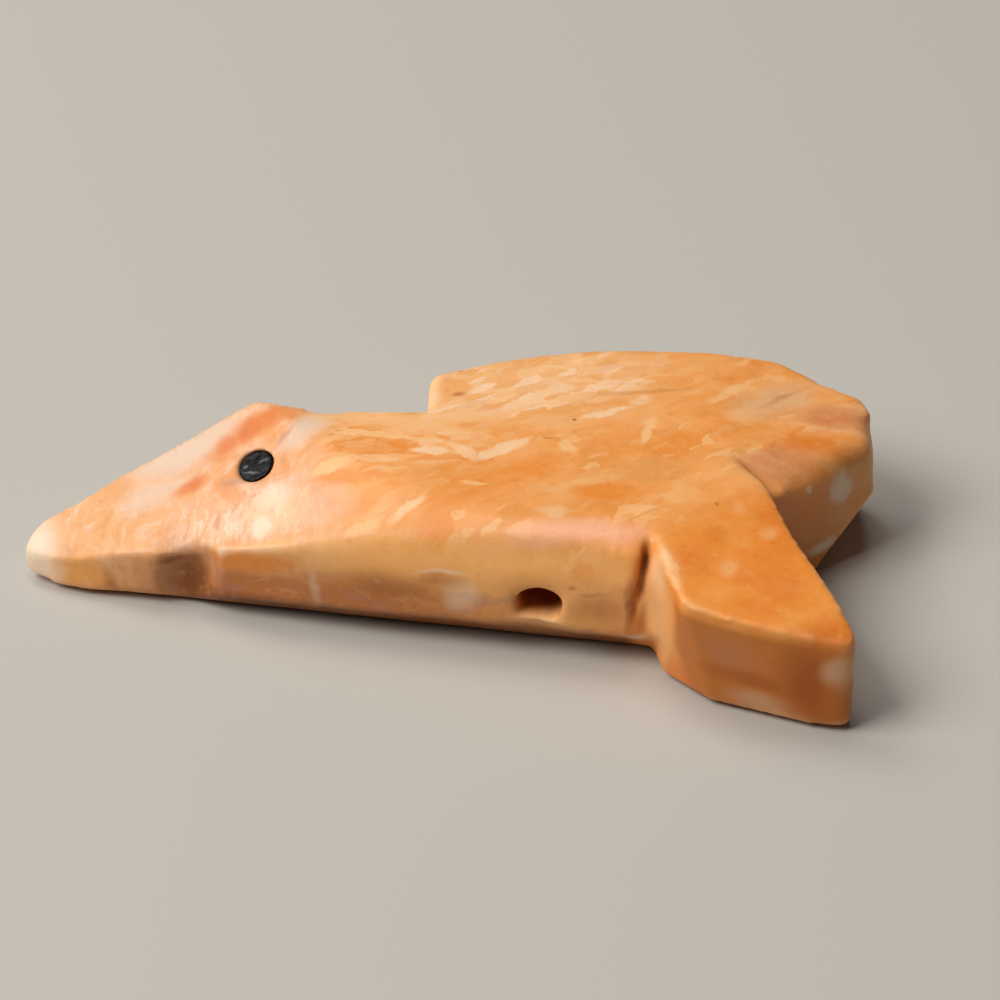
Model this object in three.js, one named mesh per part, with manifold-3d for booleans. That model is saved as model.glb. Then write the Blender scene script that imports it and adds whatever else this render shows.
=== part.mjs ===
import * as THREE from 'three';
import { mergeVertices } from 'three/addons/utils/BufferGeometryUtils.js';
import Module from 'manifold-3d';

// A bird in profile, carved from a slab of banded orange stone to be strung as a bead. It lies on
// its right side. x runs from the beak to the tail, y from the belly to the back, and z through the
// slab, from the bird's right side up to its left.

// Driving dimensions, in millimetres and degrees.
const length = 25.2; // from the beak to the outer corner of the tail
const thickness = 4.2; // of the slab
const edgeRound = 0.25; // worn edges all round the slab
const holeDiameter = 1.4; // bore for the string, from the belly to the back
const throatRadius = 1.1; // of the round burr that ground the hollow under the head
const throatDepth = 0.5; // of that hollow
const throatLean = 17; // of that hollow towards the tail, on its way up
const grooveDepth = 1.5; // saw cut between the belly and the tail
const grooveWidth = 0.85; // of the cut's mouth
const grooveLean = 6.5; // of the cut towards the beak, on its way down
const grooveSlope = 23; // of the cut's bottom, out of the belly on its way down
const eyeDiameter = 1.08; // inlay in each side of the head
const eyeDepth = 0.8; // of its socket
const eyeLean = 24; // of the drill towards the belly, away from square to the face
const eyeRecess = 0.05; // of the inlay under the face
const eyeClearance = 0.02; // round and under the inlay

const reach = 3 * length; // size of a cutting block, always larger than the bird
const facets = 32; // sides of a full turn

const wasm = await Module();
wasm.setup();

// A closed three.js geometry as a solid that can be joined and cut.
function solid(geometry) {
  const bare = geometry.index ? geometry.clone() : geometry;
  bare.deleteAttribute('normal');
  bare.deleteAttribute('uv');
  const merged = mergeVertices(bare, 1e-5);
  return new wasm.Manifold(new wasm.Mesh({
    numProp: 3,
    vertProperties: new Float32Array(merged.attributes.position.array),
    triVerts: new Uint32Array(merged.index.array),
  }));
}

// A finished solid as a named mesh.
function piece(name, body, material) {
  const { numProp, vertProperties, triVerts } = body.getMesh();
  const positions = new Float32Array((vertProperties.length / numProp) * 3);
  for (let i = 0; i < positions.length / 3; i++) {
    for (let axis = 0; axis < 3; axis++) positions[3 * i + axis] = vertProperties[numProp * i + axis];
  }
  const geometry = new THREE.BufferGeometry();
  geometry.setAttribute('position', new THREE.BufferAttribute(positions, 3));
  geometry.setIndex([...triVerts]);
  const flat = geometry.toNonIndexed();
  flat.computeVertexNormals();
  const mesh = new THREE.Mesh(flat, material);
  mesh.name = name;
  return mesh;
}

// The carving is laid out in hundredths: of the length along x and y, of the thickness along z.
const along = (share) => (share * length) / 100;
const through = (share) => (share * thickness) / 100;
const spot = (x, y, z) => new THREE.Vector3(along(x), along(y), through(z));

// Corners of the outline that the cuts share.
const valley = [86.4, 17]; // bottom of the notch between the wing and the tail
const tailCorner = [77.3, -0.8]; // end of the tail's inner wall
const cutCorner = [74.6, 5.4]; // where that wall meets the belly, inside the saw cut
const cutFoot = [74.6, 1.4]; // the same where the saw cut has run out

// The slab, sawn to the bird's outline: beak, crown, nape, the wing's front step, the wing, the
// notch behind it, the tail, and the belly back to the beak.
function slab() {
  const outline = new THREE.Shape();
  const at = (method, ...shares) => outline[method](...shares.map(along));
  at('moveTo', 2, 8.1);
  at('lineTo', 9.2, 13.1);
  at('lineTo', 22.9, 21.9);
  at('quadraticCurveTo', 24.1, 23, 25.8, 22.7);
  at('quadraticCurveTo', 31, 21.7, 36.5, 23);
  at('lineTo', 44.3, 24.5);
  at('lineTo', 43.3, 30.6);
  at('quadraticCurveTo', 43.2, 32.2, 44.6, 32.9);
  at('quadraticCurveTo', 56.5, 41.6, 72, 43.4);
  at('quadraticCurveTo', 79, 44.3, 84.2, 43.7);
  at('lineTo', 89.3, 40.5);
  at('lineTo', 94.2, 38.9);
  at('quadraticCurveTo', 96.6, 36.6, 97, 32);
  at('lineTo', 97.8, 29.1);
  at('lineTo', ...valley);
  at('quadraticCurveTo', 89.2, 10.8, 93.3, 5.2);
  at('quadraticCurveTo', 97.2, -0.2, 99.4, -3.9);
  at('quadraticCurveTo', 101.1, -7.2, 97, -7.1);
  at('lineTo', 90.5, -7);
  at('lineTo', 82.2, -6.7);
  at('lineTo', 80, -5.4);
  at('lineTo', ...tailCorner);
  at('lineTo', ...cutFoot);
  at('lineTo', 74.3, 0.2);
  at('quadraticCurveTo', 38, -0.6, 5, 2.5);
  at('quadraticCurveTo', 0.1, 2.9, 0, 4.8);
  at('quadraticCurveTo', -0.1, 6.6, 2, 8.1);
  const round = Math.min(edgeRound, along(1.2)); // no more than the beak's tip has room for
  const geometry = new THREE.ExtrudeGeometry(outline, {
    depth: thickness - 2 * round,
    bevelThickness: round,
    bevelSize: round,
    bevelOffset: -round,
    bevelSegments: 3,
    curveSegments: 5,
  });
  geometry.translate(0, 0, round);
  return solid(geometry);
}

// The direction that a face looks, from three of its points that run anticlockwise seen from outside.
function outwardFrom([a, b, c]) {
  return new THREE.Vector3().crossVectors(b.clone().sub(a), c.clone().sub(a)).normalize();
}

// What a flat lap takes off: all that lies outside the plane through three points of its face.
function lap(face) {
  const outward = outwardFrom(face);
  const block = new THREE.BoxGeometry(2 * reach, 2 * reach, 2 * reach);
  block.applyQuaternion(new THREE.Quaternion().setFromUnitVectors(new THREE.Vector3(0, 0, 1), outward));
  block.translate(...face[0].clone().addScaledVector(outward, reach).toArray());
  return solid(block);
}

// A stretch of the outline, through all of the slab, that a lap can be kept to.
function stretch(...corners) {
  const plan = new THREE.Shape(corners.map(([x, y]) => new THREE.Vector2(along(x), along(y))));
  const geometry = new THREE.ExtrudeGeometry(plan, { depth: 3 * thickness, bevelEnabled: false });
  geometry.translate(0, 0, -thickness);
  return solid(geometry);
}

const groove = spot(74.4, 5.6, 100); // upper end of the saw cut's bottom
const rampCorner = [80.7, 22.6]; // of the wing's filed end, by the notch
const beyond = 200; // share well past every edge of the bird

// The left side of the head, from the crown down to the beak and the throat.
const leftFace = [spot(5.3, 2.2, 30.5), spot(34.4, 0.5, 70.5), spot(23.4, 21.7, 97.6)];
// The right side of the head rises a little off the table towards the throat.
const rightFace = [spot(36, 23, 0), spot(30, 0, 4), spot(4, 4, 4)];

// The stretch up to the tail's inner wall, all that is past it, and the wing's end.
const ahead = stretch([-beyond, -beyond], [tailCorner[0], -beyond], tailCorner, cutCorner,
  [cutCorner[0], beyond], [-beyond, beyond]);
const behind = stretch([cutCorner[0], -beyond], [beyond, -beyond], [beyond, beyond],
  [cutCorner[0], beyond]);
const wingEnd = stretch(rampCorner, valley, [beyond, valley[1]], [beyond, beyond],
  [rampCorner[0], beyond]);

const laps = [
  lap(leftFace),
  lap(rightFace),
  // Broad shoulder between the left side and the belly, from the cheek to the saw cut.
  lap([spot(34.4, 0.4, 70.5), spot(62, 0.4, 90), spot(50, 5.5, 100)]).intersect(ahead),
  // Round of the belly under that shoulder.
  lap([spot(35, 0.2, 60), spot(62, 0.2, 68), spot(46, 1.3, 78)]).intersect(ahead),
  // Flank over the belly, wider towards the saw cut.
  lap([spot(52.4, 0, 100), spot(74.4, 0, 86.5), spot(74.4, 5.6, 100)]).intersect(ahead),
  // Belly's lower edge, all the way from the beak.
  lap([spot(74.4, 4.8, 0), spot(74.4, 0.4, 29), spot(0, 3, 0)]).intersect(ahead),
  // Upper face of the tail, falling from the saw cut and the notch to the tail's end.
  lap([groove, spot(98.8, -7, 75), spot(...valley, 100)]),
  // End of the tail, leaning in under its inner corner and less so along the middle.
  lap([spot(78.3, -1, 0), spot(83.6, -4.6, 0), spot(81, -6.3, 84)]).intersect(behind),
  lap([spot(83.6, -4.6, 0), spot(93.3, -6.4, 0), spot(86, -6.9, 84)]).intersect(behind),
  // Upper face of the wing, falling a little to its end.
  lap([spot(73, 43, 100), spot(83, 22, 100), spot(96.8, 29.8, 94)]),
  // Filed ramp on the wing's end, beside the notch.
  lap([spot(...rampCorner, 100), spot(89.7, 20.2, 85.7), spot(88.1, 26.2, 98.8)]).intersect(wingEnd),
  // Underside of the wing's tip.
  lap([spot(91.8, 26.2, 0), spot(93.2, 39.3, 0), spot(97.4, 29, 48)]).intersect(wingEnd),
];

// The string's bore, square to the belly.
function bore() {
  const geometry = new THREE.CylinderGeometry(holeDiameter / 2, holeDiameter / 2, reach, facets);
  geometry.translate(along(62.5), 0, through(46));
  return solid(geometry);
}

// The hollow under the head, ground into the belly by a round burr that was run up and down.
function throat() {
  const geometry = new THREE.SphereGeometry(throatRadius, facets, facets / 2);
  geometry.rotateX(Math.PI / 2);
  geometry.scale(1, 1, through(44) / throatRadius);
  geometry.rotateY(THREE.MathUtils.degToRad(throatLean));
  geometry.translate(along(20.3), along(1.5) + throatDepth - throatRadius, through(32));
  return solid(geometry);
}

// The saw cut that parts the belly from the tail, with one steep and one open wall.
function sawCut() {
  const wedge = new THREE.Shape();
  wedge.moveTo(0, 0);
  wedge.lineTo(-grooveWidth / 8, -grooveDepth);
  wedge.lineTo((7 * grooveWidth) / 8, -grooveDepth);
  const geometry = new THREE.ExtrudeGeometry(wedge, { depth: reach, bevelEnabled: false });
  geometry.translate(0, 0, -reach / 2);
  geometry.rotateX(THREE.MathUtils.degToRad(-grooveSlope));
  geometry.rotateY(THREE.MathUtils.degToRad(grooveLean));
  geometry.translate(...groove.toArray());
  return solid(geometry);
}

// An eye's place: the drill enters the face at this spot of the outline and leans to the belly.
const eyeSpot = { x: along(26.1), y: along(12.7) };

function eyeDrill(face, radius, depth) {
  const outward = outwardFrom(face);
  const plane = new THREE.Plane().setFromNormalAndCoplanarPoint(outward, face[0]);
  const mouth = new THREE.Vector3(eyeSpot.x, eyeSpot.y, 0);
  mouth.z = -(plane.normal.x * mouth.x + plane.normal.y * mouth.y + plane.constant) / plane.normal.z;
  const axis = outward.clone();
  axis.applyAxisAngle(new THREE.Vector3(Math.sign(outward.z), 0, 0), THREE.MathUtils.degToRad(eyeLean));
  const geometry = new THREE.CylinderGeometry(radius, radius, 2 * depth, facets);
  geometry.applyQuaternion(new THREE.Quaternion().setFromUnitVectors(new THREE.Vector3(0, 1, 0), axis));
  geometry.translate(...mouth.toArray());
  return solid(geometry);
}

// The inlay fills its socket with a little clearance, ground off just under the face.
function eyeInlay(face) {
  const outward = outwardFrom(face);
  const sunk = face.map((point) => point.clone().addScaledVector(outward, -eyeRecess));
  const plug = eyeDrill(face, eyeDiameter / 2 - eyeClearance, eyeDepth - eyeClearance);
  return plug.subtract(lap(sunk));
}

let body = slab();
for (const cut of laps) body = body.subtract(cut);
body = body.subtract(bore()).subtract(throat()).subtract(sawCut());
for (const face of [leftFace, rightFace]) {
  body = body.subtract(eyeDrill(face, eyeDiameter / 2, eyeDepth));
}

const stone = new THREE.MeshStandardMaterial({ color: 0xe9a069, roughness: 0.42, metalness: 0 });
const jet = new THREE.MeshStandardMaterial({ color: 0x15161a, roughness: 0.35, metalness: 0 });

const bird = new THREE.Group();
bird.add(piece('bird_body', body, stone));
bird.add(piece('left_eye_inlay', eyeInlay(leftFace), jet));
bird.add(piece('right_eye_inlay', eyeInlay(rightFace), jet));

// The origin is under the middle of the bird, on the surface that it lies on.
const box = new THREE.Box3().setFromObject(bird);
const middle = box.getCenter(new THREE.Vector3());
bird.position.set(-middle.x, -middle.y, -box.min.z);

export default bird;
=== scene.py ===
import math

import bmesh
import bpy
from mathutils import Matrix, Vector, noise


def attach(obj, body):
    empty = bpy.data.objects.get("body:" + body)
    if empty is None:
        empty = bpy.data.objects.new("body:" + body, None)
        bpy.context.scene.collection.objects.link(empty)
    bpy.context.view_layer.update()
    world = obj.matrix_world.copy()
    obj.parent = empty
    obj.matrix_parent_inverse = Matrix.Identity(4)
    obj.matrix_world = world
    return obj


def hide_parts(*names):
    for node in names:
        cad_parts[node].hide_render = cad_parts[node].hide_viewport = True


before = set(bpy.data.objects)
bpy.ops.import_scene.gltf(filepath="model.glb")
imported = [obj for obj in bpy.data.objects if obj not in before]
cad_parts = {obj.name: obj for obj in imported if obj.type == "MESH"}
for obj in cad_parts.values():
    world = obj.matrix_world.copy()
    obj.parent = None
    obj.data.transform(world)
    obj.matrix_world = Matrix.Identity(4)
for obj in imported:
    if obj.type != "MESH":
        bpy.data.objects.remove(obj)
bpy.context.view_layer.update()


# The body: one piece of mottled orange stone, sawn flat to a bird's outline, ground to its facets by
# hand and polished until the edges softened. The string's bore, the hollow under the head and the
# saw cut before the tail are part of it. Its sizes here are in millimetres.
millimetre = 0.001
grit = 0.088  # spacing of the finished surface's points
polish_rounds = 7  # rounds of smoothing that stand for the polish
worn_rounds = 3  # rounds of averaging of how worn an edge is
wave_height = 0.03  # of the hand-ground faces
wave_length = 2.6
ripple_height = 0.008
ripple_length = 0.7
flat_height = 0.05  # up to here the side that it lies on stays flat
waved_height = 0.5  # from here up the faces have their full waves


def smooth_step(low, high, value):
    share = min(max((value - low) / (high - low), 0), 1)
    return share * share * (3 - 2 * share)


def polish(mesh, verts, rounds):
    for _ in range(rounds):
        bmesh.ops.smooth_vert(mesh, verts=verts, factor=0.5, use_axis_x=True, use_axis_y=True,
                              use_axis_z=True)


def blank_from(node, spacing):
    """A CAD node's form in millimetres, as one skin of evenly spaced points."""
    rough = bmesh.new()
    rough.from_mesh(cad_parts[node].data)
    bmesh.ops.remove_doubles(rough, verts=rough.verts, dist=1e-6)
    bmesh.ops.scale(rough, vec=Vector((1, 1, 1)) / millimetre, verts=rough.verts)
    mesh = bpy.data.meshes.new("blank")
    rough.to_mesh(mesh)
    rough.free()
    blank = bpy.data.objects.new("blank", mesh)
    bpy.context.scene.collection.objects.link(blank)
    remesh = blank.modifiers.new("fine surface", "REMESH")
    remesh.mode = "VOXEL"
    remesh.voxel_size = spacing
    bpy.context.view_layer.update()
    fine = blank.evaluated_get(bpy.context.evaluated_depsgraph_get())
    skin = bmesh.new()
    skin.from_mesh(fine.to_mesh())
    fine.to_mesh_clear()
    bpy.data.objects.remove(blank)
    bpy.data.meshes.remove(mesh)
    return skin


def finished(skin, name, material, node):
    """The object made of a skin, in metres, that stands for a CAD node."""
    bmesh.ops.scale(skin, vec=Vector((1, 1, 1)) * millimetre, verts=skin.verts)
    for face in skin.faces:
        face.smooth = True
    mesh = bpy.data.meshes.new(name)
    skin.to_mesh(mesh)
    skin.free()
    mesh.materials.append(material)
    piece = bpy.data.objects.new(name, mesh)
    bpy.context.scene.collection.objects.link(piece)
    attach(piece, "root")
    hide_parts(node)


body = blank_from("bird_body", grit)
polish(body, body.verts, polish_rounds)

# Places that are worn rounder than the rest, each a box and its further rounds of polish.
for lowest, highest, rounds in (
    ((-5.0, -3.6, 3.3), (1.5, 1.0, 4.3), 60),  # from the cheek to the left side
    ((-4.0, -4.8, 2.2), (5.3, -2.6, 4.3), 40),  # shoulder over the belly
    ((-12.7, -5.0, -0.1), (-11.7, -2.4, 2.0), 22),  # beak's tip
    ((-8.9, -4.9, 0.2), (-6.4, -3.2, 2.6), 12),  # rim of the hollow under the head
    ((2.1, -4.9, 0.5), (4.3, -4.1, 2.6), 10),  # mouth of the string's bore
    ((5.4, -4.8, 0.0), (7.2, -3.1, 4.3), 6),  # saw cut
    ((7.4, -0.6, 0.3), (12.6, 5.6, 4.3), 10),  # end of the wing
    ((9.0, 0.2, 2.2), (12.6, 4.4, 4.3), 150),  # and its upper edge
    ((11.4, -6.6, 0.0), (12.7, -5.0, 3.4), 12),  # outer corner of the tail
):
    zone = [
        vert for vert in body.verts
        if all(low < value < high for low, value, high in zip(lowest, vert.co, highest))
    ]
    polish(body, zone, rounds)

# Places that the carver's file left fuller or leaner than the sawn blank: middle, reach, move.
for middle, reach, move in (
    ((-12.6, -3.6, 0.8), (1.1, 1.3, 1.4), (-0.12, 0.0, 0.0)),  # beak's tip
    ((-12.0, -2.9, 1.5), (1.1, 1.0, 1.2), (-0.05, 0.16, 0.06)),  # its upper edge
    ((-10.9, -4.3, 0.3), (1.9, 0.8, 0.8), (0.0, -0.16, 0.0)),  # jaw
    ((-11.2, -4.2, 1.5), (1.7, 0.8, 0.8), (0.0, 0.04, -0.24)),  # edge above the jaw
    ((-7.6, -3.9, 2.1), (1.2, 0.8, 0.6), (0.0, -0.08, -0.22)),  # rim of the hollow
    ((3.1, -4.4, 2.45), (1.4, 0.9, 0.6), (0.0, 0.0, -0.26)),  # upper lip of the bore
    ((3.0, -4.2, 1.05), (1.5, 1.1, 0.6), (0.0, 0.0, 0.3)),  # lower lip of the bore
):
    for vert in body.verts:
        away = Vector([(value - centre) / size
                       for value, centre, size in zip(vert.co, middle, reach)]).length
        if away < 1:
            vert.co += Vector(move) * smooth_step(1, 0, away)

# Outer edges are painted paler, partly as wear and partly as a painted highlight, so the skin keeps
# how far each of its points stands out from those beside it.
body.normal_update()
worn = body.verts.layers.float.new("worn edge")
for vert in body.verts:
    beside = [edge.other_vert(vert).co for edge in vert.link_edges]
    vert[worn] = (vert.co - sum(beside, Vector()) / len(beside)).dot(vert.normal) / grit
for _ in range(worn_rounds):
    softer = [
        sum(edge.other_vert(vert)[worn] for edge in vert.link_edges) / len(vert.link_edges)
        for vert in body.verts
    ]
    for vert, value in zip(body.verts, softer):
        vert[worn] = value

# The faces were ground by hand and aren't quite flat.
for vert in body.verts:
    wave = noise.noise(vert.co / wave_length) * wave_height
    ripple = noise.noise(vert.co / ripple_length + Vector((7, 3, 5))) * ripple_height
    above = smooth_step(flat_height, waved_height, vert.co.z)
    vert.co += vert.normal * (wave + ripple) * above


class Shade:
    """One output of a shader node. Arithmetic on it adds Math nodes."""

    def __init__(self, tree, socket):
        self.tree = tree
        self.socket = socket

    def node(self, kind, settings, inputs, output=0):
        """An output of a new node, with its settings made first and then its sockets filled."""
        made = self.tree.nodes.new(kind)
        for name, value in settings.items():
            if name == "stops":
                ramp = made.color_ramp
                while len(ramp.elements) < len(value):
                    ramp.elements.new(0)
                for element, (position, colour) in zip(ramp.elements, value):
                    element.position = position
                    element.color = colour
            else:
                setattr(made, name, value)
        for key, value in inputs.items():
            if isinstance(value, Shade):
                self.tree.links.new(value.socket, made.inputs[key])
            else:
                made.inputs[key].default_value = value
        return Shade(self.tree, made.outputs[output])

    def math(self, operation, *values):
        return self.node("ShaderNodeMath", {"operation": operation}, dict(enumerate(values)))

    def __add__(self, other):
        return self.math("ADD", self, other)

    def __sub__(self, other):
        return self.math("SUBTRACT", self, other)

    def __mul__(self, other):
        return self.math("MULTIPLY", self, other)

    def __radd__(self, other):
        return self.math("ADD", other, self)

    def __rsub__(self, other):
        return self.math("SUBTRACT", other, self)

    def __rmul__(self, other):
        return self.math("MULTIPLY", other, self)

    def most(self, *others):
        """The largest of this number and the others."""
        result = self
        for other in others:
            result = result.math("MAXIMUM", result, other)
        return result

    def rise(self, low, high):
        """0 below low and 1 above high, or the other way round, with a smooth change between."""
        return self.node("ShaderNodeMapRange", {"interpolation_type": "SMOOTHSTEP"},
                         {0: self, 1: low, 2: high, 3: 0.0, 4: 1.0})

    def parts(self):
        """The three numbers of this vector."""
        return [self.node("ShaderNodeSeparateXYZ", {}, {0: self}, axis) for axis in range(3)]

    def blend(self, other, share):
        """This colour with a share of another one mixed in."""
        return self.node("ShaderNodeMix", {"data_type": "RGBA"}, {0: share, 6: self, 7: other}, 2)

    def shift(self, other, amount=1.0):
        """This vector moved by another one's distance from its middle grey, times the amount."""
        centred = self.node("ShaderNodeVectorMath", {"operation": "SUBTRACT"},
                            {0: other, 1: (0.5, 0.5, 0.5)})
        return self.node("ShaderNodeVectorMath", {"operation": "MULTIPLY_ADD"},
                         {0: centred, 1: (amount, amount, amount), 2: self})

    def turned(self, turn=(0, 0, 0), scale=(1, 1, 1), place=(0, 0, 0)):
        """This place seen from a frame with that middle, turn in degrees and half size."""
        return self.node("ShaderNodeMapping", {"vector_type": "TEXTURE"},
                         {0: self, 1: place, 2: [math.radians(angle) for angle in turn], 3: scale})

    def cloud(self, size, detail=3.0, roughness=0.5, output=0):
        """Soft noise with lumps of about that size."""
        return self.node("ShaderNodeTexNoise", {}, {"Vector": self, "Scale": 1 / size,
                         "Detail": detail, "Roughness": roughness}, output)

    def cells(self, size):
        """Three random numbers for each angular flake of about that size."""
        flakes = self.node("ShaderNodeTexVoronoi", {}, {"Vector": self, "Scale": 1 / size}, 1)
        return [self.node("ShaderNodeSeparateColor", {}, {0: flakes}, index) for index in range(3)]

    def patch(self, place, size, turn, soft, name=""):
        """1 inside an oval with that middle and half sizes, turned about Z, and 0 outside it."""
        reach = [half * (1 + soft) for half in size]
        if turn:
            inside = self.turned((0, 0, turn), reach, place)
        else:
            inside = self.node("ShaderNodeVectorMath", {"operation": "MULTIPLY_ADD"}, {
                0: self,
                1: [1 / far for far in reach],
                2: [-middle / far for middle, far in zip(place, reach)],
            })
        inside.socket.node.label = name
        depth = inside.node("ShaderNodeTexGradient", {"gradient_type": "SPHERICAL"}, {0: inside}, 1)
        return depth.rise(0.0, 2 * soft / (1 + soft))


def pigment(red, green, blue):
    """A colour written as its three values on a screen, from 0 to 255, as linear light."""
    return tuple(
        channel / 12.92 if channel <= 0.04045 else ((channel + 0.055) / 1.055) ** 2.4
        for channel in (red / 255, green / 255, blue / 255)
    ) + (1.0,)


stone = bpy.data.materials.new("mottled orange stone")
stone.use_nodes = True
tree = stone.node_tree
surface = tree.nodes["Principled BSDF"]
place = Shade(tree, tree.nodes.new("ShaderNodeTexCoord").outputs["Object"])
place = place.turned(scale=(millimetre,) * 3)
across, along_y, up = place.parts()
bent = place.shift(place.cloud(2.4, 2.0, output=1), 1.8)
torn = place.shift(place.cloud(0.55, 4.0, 0.6, output=1), 0.55)
ragged = place.shift(place.cloud(0.35, 3.0, 0.6, output=1), 0.25)
drift = place.shift(place.cloud(1.3, 1.0, output=1), 0.6)

deep_orange = pigment(236, 140, 52)
orange = pigment(240, 156, 78)
peach = pigment(246, 174, 106)
cream = pigment(250, 192, 130)
pale = pigment(250, 206, 160)
pink = pigment(254, 184, 146)
tan = pigment(226, 156, 86)
white = pigment(250, 228, 202)
ochre = pigment(230, 156, 64)
mauve = pigment(186, 134, 110)
grey = pigment(216, 174, 136)
brown = pigment(168, 92, 38)
umber = pigment(132, 70, 24)
burnt = pigment(218, 112, 22)
rust = pigment(170, 82, 20)

# The ground: soft clouds of orange and peach, with flakes in them like torn paper, which are plainer
# on the walls.
ground = bent.turned((0, 0, 24), (1.5, 0.9, 1.0)).cloud(1.6, 3.0, 0.5)
tone = ground.node("ShaderNodeValToRGB", {"stops": (
    (0.32, pigment(236, 146, 66)), (0.45, orange), (0.56, pigment(243, 166, 92)), (0.70, peach),
)}, {0: ground})
busy = (place.cloud(3.6, 1.0).rise(0.38, 0.62) * 0.6 + 0.4) * (up.rise(2.8, 3.8) * 0.5 + 0.5)
flake, kind, pick = ragged.turned((0, 0, 36), (1.5, 0.5, 1.0)).cells(1.0)
tone = tone.blend(peach, busy * flake.rise(0.62, 0.65) * 0.5)
tone = tone.blend(tan, busy * kind.rise(0.74, 0.77) * 0.45)
tone = tone.blend(cream, busy * pick.rise(0.86, 0.89) * 0.7)
chip, _, chip_pick = ragged.turned((0, 0, 46), (0.62, 0.24, 0.5)).cells(1.0)
tone = tone.blend(deep_orange, busy * chip.rise(0.80, 0.84) * 0.4)
tone = tone.blend(cream, busy * chip_pick.rise(0.86, 0.90) * 0.6)

# The nape is paler, in thin beds, and the back by the step is full of pale shards.
beds = torn.turned((0, 0, 12), (1.4, 0.4, 0.8)).cloud(1.0, 2.0, 0.5)
nape = torn.patch((-2.4, 0.1, 4.2), (2.9, 2.0, 3.0), 8, 0.6)
tone = tone.blend(cream, nape * beds.rise(0.47, 0.53) * 0.6)
back = torn.patch((1.2, 3.1, 4.2), (4.0, 1.6, 3.0), 24, 0.6)
tone = tone.blend(pigment(247, 192, 132), back * 0.55)
splinter = ragged.turned((0, 0, 12), (0.8, 0.24, 0.6)).cells(1.0)[0]
tone = tone.blend(pigment(252, 200, 146), back.most(nape) * splinter.rise(0.80, 0.84) * 0.7)
shard, shard_kind, shard_pick = ragged.turned((0, 0, 42), (0.8, 0.3, 0.8)).cells(1.0)
tone = tone.blend(pigment(252, 200, 144), back * shard.rise(0.56, 0.60) * 0.6)
tone = tone.blend(pigment(254, 214, 176), back * shard_pick.rise(0.76, 0.80) * 0.7)
tone = tone.blend(pigment(232, 158, 90), back * shard_kind.rise(0.78, 0.82) * 0.4)

# The head is paler and pinker. Short dashes run across it, which are clearest on the cheek.
head = (across + along_y * 0.35).rise(-3.4, -5.6)
clouds = bent.cloud(1.3, 3.0, 0.55)
head_tone = clouds.node("ShaderNodeValToRGB", {"stops": (
    (0.34, pigment(234, 156, 96)), (0.46, pigment(241, 168, 110)), (0.58, pigment(243, 180, 132)),
    (0.70, pigment(243, 196, 160)),
)}, {0: clouds})
tone = tone.blend(head_tone, head * 0.9)
beak = across.rise(-7.4, -9.4) * across.rise(-12.2, -11.4)
tone = tone.blend(pigment(238, 174, 112), beak * 0.5)
flecks = bent.turned((0, 0, 60), (1.0, 0.5, 0.6)).cloud(0.9, 3.0, 0.6)
tone = tone.blend(pigment(224, 152, 88), head * flecks.rise(0.46, 0.36) * 0.6)
tone = tone.blend(pigment(247, 206, 180), head * flecks.rise(0.54, 0.64) * 0.4)
dashes = ragged.turned((0, 0, 6), (0.15, 0.6, 0.5)).cloud(1.0, 3.0, 0.6)
cheek = torn.patch((-5.7, -3.2, 2.9), (2.3, 1.0, 1.4), 11, 0.6)
tone = tone.blend(pigment(246, 200, 168), cheek * 0.5)
tone = tone.blend(white, (cheek * 0.4 + head * 0.1) * dashes.rise(0.53, 0.62))
tone = tone.blend(pigment(222, 140, 100), (cheek * 0.4 + head * 0.2) * dashes.rise(0.45, 0.36))

# The tail is a deeper and plainer orange.
tail = ((across - 6.2) * 0.69 - (along_y + 3.2) * 0.72).rise(-0.5, 0.9)
clouds = bent.cloud(1.8, 2.0, 0.5)
tail_tone = clouds.node("ShaderNodeValToRGB", {"stops": (
    (0.35, pigment(238, 134, 44)), (0.50, pigment(242, 145, 52)), (0.65, pigment(246, 158, 70)),
)}, {0: clouds})
tone = tone.blend(tail_tone, tail * 0.9)

# Its end face is painted darker and browner, as painted shade.
below_edge = (up + across * 0.09).rise(4.12, 3.8)
end = (along_y * 0.8 + across * -0.25).rise(-6.0, -6.4) * across.rise(6.9, 7.3)
end = end * below_edge * along_y.rise(-4.2, -5.2)
tone = tone.blend(pigment(200, 116, 44), end * 0.85)

# The belly is painted a brighter orange over its shoulder, as painted light, and browner low down and
# brownest along its foot, as painted shade, under soft clouds.
belly = along_y.rise(-4.0, -4.4) * across.rise(6.0, 5.6) * across.rise(-11.0, -7.0)
tone = tone.blend(pigment(252, 184, 108), belly * 0.7)
tone = tone.blend(pigment(190, 108, 54), belly * up.rise(2.5, 1.5) * across.rise(6.5, -2.0) * 0.85)
clouds = bent.turned(scale=(1.5, 1.0, 0.5)).cloud(1.0, 3.0, 0.6)
tone = tone.blend(mauve, belly * up.rise(2.6, 1.8) * clouds.rise(0.52, 0.64) * 0.5)
tone = tone.blend(pigment(250, 190, 134), belly * clouds.rise(0.46, 0.34) * 0.2)
# painted shade along the foot of the belly, next to the floor
foot = along_y.rise(-3.2, -3.6) * across.rise(6.1, 5.6) * across.rise(-9.0, -6.0) * up.rise(1.15, 0.6)
tone = tone.blend(umber, foot * 0.9)
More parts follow.
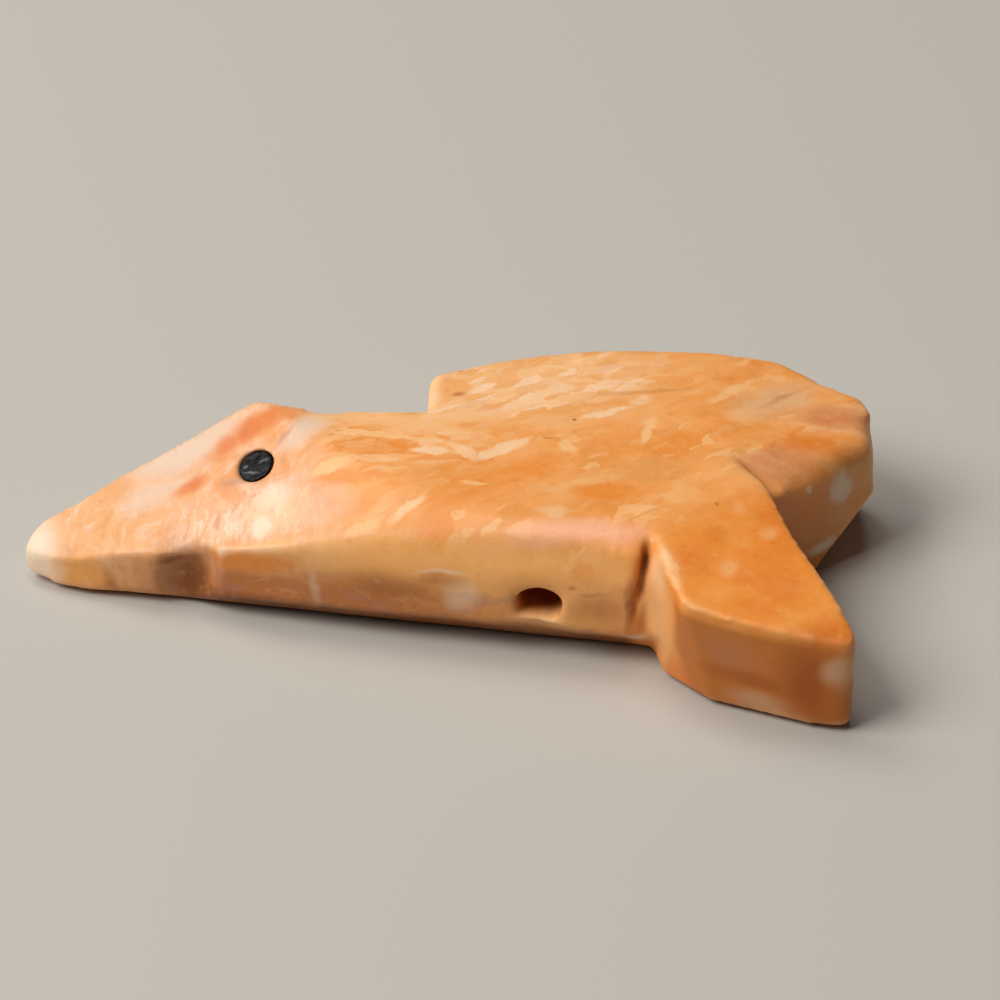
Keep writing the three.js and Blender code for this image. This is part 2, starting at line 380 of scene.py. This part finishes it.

# Marks in the stone, with painted light and painted shade among them, colour by colour: middle, half
# sizes, turn about Z, strength and softness. The edges of the softer ones drift, and those of the
# others are torn.
drifting = 0.55
for colour, marks in (
    (deep_orange, (
        ("bed under the nape's line", (-2.55, -0.82, 4.2), (1.25, 0.3, 0.6), 9, 0.5, 0.3),
        ("second bed", (-2.9, -2.15, 4.0), (1.1, 0.3, 0.6), 0, 0.7, 0.4),
        ("beside the bent shard", (2.4, -0.8, 4.2), (0.85, 0.5, 0.8), 35, 0.65, 0.5),
        ("by the cut", (4.6, -1.75, 4.2), (0.95, 0.4, 0.8), 6, 0.9, 0.4),
        ("by the ramp", (9.9, 2.1, 4.1), (0.5, 0.35, 0.5), 20, 0.6, 0.5),
        ("smudge under the eye", (-6.5, -2.35, 3.1), (0.6, 0.36, 0.5), -35, 0.6, 0.6),
        ("under the head's crease", (-5.5, -4.4, 2.2), (1.6, 0.4, 0.35), 0, 0.85, 0.6),
        ("smudge on the belly", (4.5, -4.4, 3.2), (0.3, 0.3, 0.25), 0, 0.6, 0.6),
    )),
    (burnt, (
        ("corner of the tail's top", (11.9, -6.1, 3.15), (0.9, 0.6, 0.5), 20, 0.8, 0.8),
        ("first deep spot on the tail", (8.1, -3.0, 4.1), (0.35, 0.4, 0.5), 0, 0.5, 0.8),
        ("second", (9.3, -1.9, 4.0), (0.4, 0.35, 0.5), 0, 0.4, 0.8),
        ("third", (7.6, -4.3, 3.9), (0.5, 0.5, 0.5), 0, 0.3, 0.8),
        ("under the oval", (10.3, 2.15, 4.0), (1.3, 0.3, 0.5), 10, 0.55, 0.8),
    )),
    (pigment(250, 160, 84), (
        # painted light on the wall at the end of the wing
        ("inner part of the wing's end", (10.2, 0.75, 3.0), (1.1, 0.6, 0.65), 42, 0.9, 0.8),
    )),
    (pigment(228, 198, 172), (
        ("brow", (-8.3, -0.6, 3.1), (2.0, 0.7, 1.4), 30, 0.95, 0.7),
        ("face under the brow", (-8.8, -2.1, 2.6), (1.2, 0.5, 0.8), 30, 0.75, 0.8),
        ("neck", (-4.75, -0.1, 4.1), (1.1, 0.4, 0.8), 58, 0.85, 0.6),
    )),
    (pigment(222, 114, 6), (
        ("front of the crown", (-7.0, -0.55, 3.6), (0.75, 0.32, 0.8), 48, 0.8, 0.7),
        ("middle of the crown", (-6.35, 0.0, 3.9), (0.8, 0.42, 0.8), 40, 0.95, 0.6),
        ("back of the crown", (-5.6, 0.4, 4.15), (0.85, 0.36, 0.8), 18, 0.6, 0.6),
        ("spot before the eye", (-7.85, -2.0, 2.85), (0.5, 0.26, 0.6), 50, 0.85, 0.7),
    )),
    (tan, (
        ("bed on the back", (5.7, -0.4, 4.2), (1.15, 0.6, 0.8), 10, 0.6, 0.3),
        ("olive line behind the eye", (-4.4, -0.75, 4.0), (0.95, 0.11, 0.5), 62, 0.5, 0.8),
        ("upper edge of the beak", (-10.2, -1.9, 2.4), (0.5, 0.35, 0.4), 30, 0.7, 0.7),
        ("first streak on the beak", (-9.3, -3.2, 2.1), (0.5, 0.14, 0.5), 70, 0.5, 0.8),
        ("second streak", (-10.3, -3.0, 1.8), (0.45, 0.15, 0.5), 60, 0.5, 0.8),
        ("third streak", (-11.1, -2.9, 1.7), (0.35, 0.15, 0.5), 60, 0.4, 0.8),
    )),
    (pink, (
        ("behind the cheek", (-3.3, -3.1, 3.6), (0.8, 0.7, 0.6), 0, 0.5, 0.5),
        # the flank's pink is a painted sheen from the overhead light
        ("flank", (4.2, -3.65, 3.95), (1.8, 0.5, 0.55), 12, 0.9, 0.6),
        ("cheek's end", (-4.6, -2.2, 3.7), (0.3, 0.7, 0.5), 0, 0.5, 0.6),
    )),
    (peach, (
        ("first spot on the tail", (8.55, -4.2, 3.8), (0.25, 0.35, 0.5), -20, 0.9, 0.7),
        ("second spot", (8.55, -1.7, 4.1), (0.22, 0.3, 0.5), 0, 0.6, 0.7),
        ("third spot", (9.5, -2.6, 3.9), (0.22, 0.3, 0.5), 0, 0.7, 0.7),
        ("belly by the cut", (4.8, -4.6, 2.6), (1.2, 0.5, 0.8), 0, 0.6, 0.6),
        ("block by the step", (-0.9, 2.6, 4.2), (0.6, 0.45, 2.0), 20, 0.7, 0.4),
        ("forked shard's foot", (5.3, 2.7, 4.2), (0.3, 0.5, 0.5), 0, 0.6, 0.4),
    )),
    (cream, (
        # painted light on the sawn wall of the tail, which the lamps leave in shade
        ("sawn wall of the tail", (6.7, -4.7, 2.1), (0.8, 0.5, 1.6), -62, 0.75, 0.8),
        ("line on the nape", (-2.5, -0.1, 4.2), (1.35, 0.14, 0.5), 0, 0.9, 0.3),
        ("edge of the nape", (-2.6, 0.6, 4.2), (2.2, 0.3, 0.5), 0, 0.8, 0.6),
        ("bed on the neck", (-3.5, -1.65, 4.0), (0.8, 0.24, 0.6), 26, 0.85, 0.3),
        ("short streak", (0.73, -2.08, 4.2), (0.36, 0.1, 0.4), 0, 0.8, 0.3),
        ("squiggle", (-2.1, -3.95, 3.5), (0.65, 0.18, 0.5), 25, 0.9, 0.4),
        ("bed by the step", (-0.3, 1.3, 4.2), (0.9, 0.3, 0.6), 15, 0.6, 0.5),
        ("forked shard", (5.3, 1.6, 4.2), (0.75, 0.17, 0.5), 84, 0.9, 0.3),
        ("patch on the back", (3.1, 0.3, 4.2), (0.34, 0.22, 0.5), -50, 0.9, 0.3),
        ("curved streak", (7.4, 4.2, 4.2), (0.95, 0.16, 0.5), 57, 0.8, 0.4),
        ("by the grey patch", (8.05, 3.0, 4.2), (0.5, 0.4, 0.5), 30, 0.5, 0.5),
        ("rim of the oval", (10.4, 3.0, 4.0), (0.95, 0.14, 0.5), 0, 0.7, 0.7),
        ("scratch on the oval", (11.3, 3.2, 4.0), (0.6, 0.16, 0.5), -8, 0.6, 0.7),
        ("first scratch on the ramp", (9.2, 1.15, 3.9), (0.9, 0.09, 0.5), -12, 0.9, 0.7),
        ("second scratch", (8.9, 0.75, 3.9), (0.8, 0.08, 0.5), -16, 0.9, 0.7),
        ("corner of the tail", (12.3, -6.3, 2.1), (0.35, 0.6, 0.6), 0, 0.75, 0.8),
        ("rim under the tail's end", (11.0, -6.3, 0.2), (2.2, 0.5, 0.24), 0, 0.8, 0.8),
        # painted light on the bore's lower lip, which faces up into the light
        ("worn lip of the hole", (3.2, -4.3, 1.3), (0.85, 0.6, 0.3), 0, 0.95, 0.5),
        ("ridge of the tail", (7.0, -4.6, 3.9), (0.95, 0.14, 0.4), -62, 0.7, 0.5),
    )),
    (pale, (
        # painted highlight on the lit edge of the step
        ("edge of the step", (-1.45, 2.3, 3.9), (0.25, 1.0, 1.0), 10, 0.8, 0.8),
        # painted light on the top of the sawn wall
        ("top of the sawn wall", (6.75, -4.35, 3.5), (0.55, 0.4, 0.5), -60, 0.6, 0.8),
        ("block on the back", (-0.84, -0.68, 4.2), (0.52, 0.22, 0.6), 11, 0.95, 0.25),
        ("bent shard, short arm", (0.2, -0.52, 4.2), (0.55, 0.2, 0.6), -34, 0.7, 0.3),
        ("bent shard, long arm", (1.25, -0.15, 4.2), (0.95, 0.24, 0.6), 46, 0.85, 0.3),
        ("wedge", (-0.95, -3.35, 4.0), (0.65, 0.16, 0.5), 50, 0.7, 0.4),
        ("shard by the step", (1.5, 2.55, 4.2), (0.95, 0.26, 0.6), 50, 0.65, 0.3),
        ("chip by the step", (2.3, 3.35, 4.2), (0.45, 0.3, 0.6), 20, 0.75, 0.3),
        ("thin streak", (3.9, 2.3, 4.2), (0.85, 0.16, 0.5), 32, 0.9, 0.3),
        ("its end", (4.8, 3.2, 4.2), (0.35, 0.2, 0.5), 45, 0.6, 0.4),
        ("chip by the flank", (3.3, -3.05, 4.2), (0.42, 0.28, 0.5), 10, 0.5, 0.5),
        ("cheek", (-5.0, -3.2, 3.0), (1.0, 0.7, 0.8), 10, 0.6, 0.6),
    )),
    (ochre, (
        ("jaw", (-10.8, -4.0, 0.6), (1.3, 0.9, 0.8), 0, 0.65, 0.8),
    )),
    (pigment(214, 136, 86), (
        ("filed oval on the wing", (10.7, 3.7, 4.0), (1.1, 0.65, 0.6), 20, 0.75, 0.5),
        ("ramp", (9.3, 1.0, 3.9), (1.2, 0.7, 0.5), 30, 0.75, 0.5),
    )),
    (rust, (
        ("outer third of the tail's end", (11.3, -6.3, 1.6), (0.8, 0.6, 1.3), 0, 0.9, 0.8),
        ("band on the tail's end", (9.8, -6.2, 1.5), (1.6, 0.6, 0.3), 0, 0.6, 0.8),
    )),
    (grey, (
        ("patch on the wing", (8.8, 4.2, 4.1), (1.25, 0.65, 0.6), 44, 0.55, 0.8),
        ("patch on the tail's end", (9.8, -6.2, 0.65), (0.85, 0.6, 0.36), 0, 0.65, 0.8),
        ("on the outer corner of the tail", (12.1, -6.4, 2.1), (0.35, 0.5, 0.4), 0, 0.7, 0.8),
    )),
    (mauve, (
        ("streak by the eye", (-5.35, -0.45, 4.0), (0.42, 0.09, 0.5), 62, 0.6, 0.7),
        ("on the tail's end", (9.0, -6.2, 2.3), (0.8, 0.6, 0.5), 0, 0.3, 0.8),
        ("back of the jaw", (-9.1, -4.2, 0.9), (0.8, 0.4, 0.7), 0, 0.25, 0.6),
        ("rubbed glue by the eye", (-6.35, -1.9, 3.3), (0.6, 0.18, 0.5), 14, 0.6, 0.8),
    )),
    (pigment(166, 92, 36), (
        # darker brown in the hollow under the head: partly the stone's own brown, partly painted
        # shade
        ("hollow under the head", (-7.3, -3.9, 0.95), (1.0, 0.6, 0.9), 0, 0.8, 0.9),
        ("streak in the grey patch", (8.9, 4.25, 4.1), (0.6, 0.12, 0.5), 52, 0.4, 0.8),
        # painted shade on the upper edge of the wing's end
        ("upper edge of the wing's end", (11.2, 2.0, 3.8), (0.9, 0.4, 0.3), 42, 0.5, 0.8),
        # painted shade inside the bore
        ("inside of the bore", (3.0, -3.3, 1.6), (0.9, 0.9, 0.9), 0, 0.8, 0.5),
        ("first cloud on the belly", (-1.3, -4.6, 2.0), (1.4, 0.4, 0.45), 0, 0.6, 0.8),
        ("second cloud", (0.2, -4.6, 2.35), (0.7, 0.4, 0.2), 0, 0.5, 0.8),
        ("cloud beside the hole", (4.9, -4.6, 2.0), (0.8, 0.4, 0.4), 0, 0.4, 0.8),
        ("first speck on the belly", (4.13, -4.6, 2.81), (0.14, 0.3, 0.1), 0, 0.5, 0.8),
        ("second speck", (4.75, -4.6, 2.5), (0.4, 0.3, 0.09), 0, 0.4, 0.8),
        # painted shade in the saw cut
        ("lower saw cut", (5.9, -4.4, 2.1), (0.18, 0.4, 0.9), 0, 0.8, 0.6),
    )),
    (umber, (
        # umber at the bottom and rim of the hollow: partly the stone's own brown, partly painted
        # shade
        ("bottom of the hollow", (-7.3, -3.9, 0.75), (0.5, 0.5, 0.7), 0, 1.0, 0.9),
        ("rim of the hollow", (-7.9, -4.0, 1.5), (0.6, 0.3, 0.12), 0, 0.6, 0.7),
        # painted shade in the saw cut
        ("upper saw cut", (6.1, -3.85, 3.1), (0.2, 0.5, 0.9), 0, 0.8, 0.6),
    )),
    (white, (
        ("beak's tip", (-12.4, -3.6, 1.0), (0.7, 1.2, 1.4), 20, 0.9, 0.8),
        # painted highlights on the cheek
        ("brightest of the cheek", (-5.3, -3.65, 2.9), (0.3, 0.4, 0.4), 0, 0.7, 0.5),
        ("beside it", (-5.1, -2.6, 3.4), (0.4, 0.5, 0.4), 0, 0.6, 0.8),
        ("spot on the wing's end", (11.15, 1.7, 2.8), (0.38, 0.5, 0.5), 0, 0.8, 0.4),
        ("small spot beside it", (10.3, 0.8, 3.25), (0.12, 0.3, 0.16), 0, 0.6, 0.5),
        ("chip under the wing", (10.7, 1.2, 0.9), (0.5, 0.5, 0.22), 0, 0.9, 0.6),
        ("vein on the belly", (-3.4, -4.5, 1.5), (0.12, 0.4, 0.6), 0, 0.25, 0.8),
        ("patch on the belly", (0.9, -4.6, 1.9), (0.4, 0.4, 0.45), 0, 0.4, 0.8),
        ("scratch over it", (0.3, -4.6, 2.62), (0.6, 0.4, 0.06), 0, 0.4, 0.8),
        ("foot of the saw cut", (6.0, -4.2, 1.0), (0.25, 0.4, 0.25), 0, 0.6, 0.8),
    )),
    (brown, (
        ("thin line on the wing", (4.9, 3.7, 4.2), (1.4, 0.1, 0.4), 18, 0.3, 0.8),
        ("spot on the jaw", (-9.85, -4.1, 0.6), (0.2, 0.3, 0.3), 0, 0.6, 0.8),
        ("speck by the thin streak", (3.07, 1.74, 4.2), (0.08, 0.08, 0.3), 0, 0.9, 0.5),
        ("speck by the bent shard", (2.47, 0.6, 4.2), (0.2, 0.05, 0.3), 10, 0.6, 0.5),
        ("speck by the step", (-0.66, 2.4, 4.2), (0.2, 0.12, 0.3), 30, 0.6, 0.6),
        ("speck on the tail", (7.87, -1.78, 4.2), (0.1, 0.08, 0.3), 0, 0.6, 0.5),
    )),
):
    covers = [
        (drift if soft > drifting else torn).patch(middle, size, turn, soft, name) * share
        for name, middle, size, turn, share, soft in marks
    ]
    tone = tone.blend(colour, covers[0].most(*covers[1:]))

# Fine cloudiness all over, and edges painted paler, partly as wear and partly as a painted highlight;
# the crease below the cheek gets a strong painted highlight.
fine = place.cloud(0.3, 3.0, 0.6)
tone = tone.blend(cream, (1 - end) * fine.rise(0.5, 0.8) * 0.25)
tone = tone.blend(brown, fine.rise(0.45, 0.2) * 0.2)
edges = place.node("ShaderNodeAttribute", {"attribute_name": "worn edge"}, {}, "Fac")
tone = tone.blend(pigment(253, 198, 140), edges.rise(0.02, 0.09) * 0.3)
# painted highlight along the crease below the cheek
crease = drift.patch((-6.0, -4.15, 2.6), (1.6, 0.6, 0.5), 0, 0.9)
tone = tone.blend(white, crease * edges.rise(0.02, 0.09) * 0.8)
tree.links.new(tone.socket, surface.inputs["Base Color"])

# A waxy hand polish with the last scratches of the grinding left in it.
scratches = place.turned((0, 0, 62), (2.4, 0.05, 0.05)).cloud(1.0, 2.0, 0.7)
rubbed = place.turned((0, 0, -18), (0.05, 1.8, 0.4)).cloud(1.0, 2.0, 0.7)
relief = scratches * 0.5 + rubbed * 0.4 + place.cloud(0.35, 3.0, 0.6) * 0.8
bump = relief.node("ShaderNodeBump", {}, {"Strength": 0.5, "Distance": 0.02 * millimetre,
                                          "Height": relief})
tree.links.new(bump.socket, surface.inputs["Normal"])
gloss = scratches.rise(0.4, 0.75) * 0.12 + place.cloud(1.1, 2.0).rise(0.3, 0.7) * 0.12 + 0.32
tree.links.new(gloss.socket, surface.inputs["Roughness"])
surface.inputs["Specular IOR Level"].default_value = 0.35
finished(body, "bird", stone, "bird_body")


# The eyes: a small plug of black jet glued into a socket in each side of the head, ground down just
# below the stone and left with an uneven, scratched gloss.
eye_grit = 0.035
eye_polish_rounds = 3
eye_unevenness = 0.05
eye_dimple = 0.3  # size of that unevenness, along the face

jet = bpy.data.materials.new("black jet")
jet.use_nodes = True
tree = jet.node_tree
surface = tree.nodes["Principled BSDF"]
place = Shade(tree, tree.nodes.new("ShaderNodeTexCoord").outputs["Object"])
place = place.turned(scale=(millimetre,) * 3)
marks = place.turned((0, 0, 20), (0.5, 0.07, 0.2)).cloud(1.0, 3.0, 0.7)
tone = marks.node("ShaderNodeValToRGB", {"stops": (
    (0.52, pigment(7, 7, 9)), (0.66, pigment(60, 62, 64)),
)}, {0: marks})
torn = place.shift(place.cloud(0.12, 2.0, 0.6, output=1), 0.16)
# Painted glints: pale strokes on the jet where it would reflect the lamps.
painted_glints = [
    torn.patch(middle, size, turn, 0.5, name)
    for name, middle, size, turn in (
        ("long painted glint", (-6.1, -1.62, 3.35), (0.26, 0.035, 0.2), -8),
        ("upper painted glint", (-5.8, -1.24, 3.56), (0.15, 0.03, 0.2), 30),
        ("short painted glint", (-6.3, -1.4, 3.36), (0.06, 0.05, 0.2), 60),
    )
]
tone = tone.blend(pigment(120, 124, 128), painted_glints[0].most(*painted_glints[1:]) * 0.7)
tree.links.new(tone.socket, surface.inputs["Base Color"])
gloss = marks.rise(0.35, 0.7) * 0.2 + 0.3
tree.links.new(gloss.socket, surface.inputs["Roughness"])
surface.inputs["Specular IOR Level"].default_value = 0.12
bump = marks.node("ShaderNodeBump", {}, {"Strength": 0.6, "Distance": 0.02 * millimetre,
                                         "Height": marks})
tree.links.new(bump.socket, surface.inputs["Normal"])

for side in ("left", "right"):
    node = f"{side}_eye_inlay"
    plug = blank_from(node, eye_grit)
    polish(plug, plug.verts, eye_polish_rounds)
    plug.normal_update()
    for vert in plug.verts:
        dent = noise.noise(vert.co / eye_dimple + Vector((2, 5, 1)))
        vert.co += vert.normal * (dent - 0.4) * eye_unevenness
    finished(plug, f"{side}_eye", jet, node)


# The floor and the light: a plain pale table under soft studio light.
floor_size = 3.0
floor = bmesh.new()
bmesh.ops.create_grid(floor, x_segments=1, y_segments=1, size=floor_size / 2)
floor_mesh = bpy.data.meshes.new("floor")
floor.to_mesh(floor_mesh)
floor.free()
table = bpy.data.objects.new("table", floor_mesh)
bpy.context.scene.collection.objects.link(table)
table_finish = bpy.data.materials.new("pale matt table")
table_finish.use_nodes = True
table_surface = table_finish.node_tree.nodes["Principled BSDF"]
table_surface.inputs["Base Color"].default_value = pigment(192, 188, 180)
table_surface.inputs["Roughness"].default_value = 0.8
floor_mesh.materials.append(table_finish)

world = bpy.data.worlds.new("studio")
world.use_nodes = True
world.node_tree.nodes["Background"].inputs["Color"].default_value = pigment(226, 224, 220)
world.node_tree.nodes["Background"].inputs["Strength"].default_value = 0.06
bpy.context.scene.world = world
bpy.context.scene.view_settings.view_transform = "Standard"

for name, spot, size, power, tint in (
    ("window softbox", (-0.18, -0.11, 0.255), 0.18, 0.90, (1.0, 0.98, 0.95)),
    ("back softbox", (-0.17, 0.11, 0.27), 0.16, 0.31, (1.0, 0.98, 0.95)),
    ("overhead softbox", (-0.02, 0.063, 0.344), 0.12, 0.21, (1.0, 0.95, 0.92)),
):
    lamp = bpy.data.lights.new(name, "AREA")
    lamp.size = size
    lamp.energy = power
    lamp.color = tint
    light = bpy.data.objects.new(name, lamp)
    light.location = spot
    light.rotation_euler = (-Vector(spot)).to_track_quat("-Z", "Y").to_euler()
    bpy.context.scene.collection.objects.link(light)

# The camera stands before the belly, a little to the tail's side, and looks down on the left side.
aim = Vector((0.52, 3.11, 0)) * millimetre
view_distance = 0.130
view_height = math.radians(35)
view_side = math.radians(11.2)
camera_data = bpy.data.cameras.new("camera")
camera_data.lens = 152.1
camera_data.sensor_width = 36
camera_data.clip_start = 0.001
camera = bpy.data.objects.new("camera", camera_data)
camera.location = aim + view_distance * Vector((
    math.sin(view_side) * math.cos(view_height),
    -math.cos(view_side) * math.cos(view_height),
    math.sin(view_height),
))
camera.rotation_euler = (aim - camera.location).to_track_quat("-Z", "Y").to_euler()
bpy.context.scene.collection.objects.link(camera)
bpy.context.scene.camera = camera
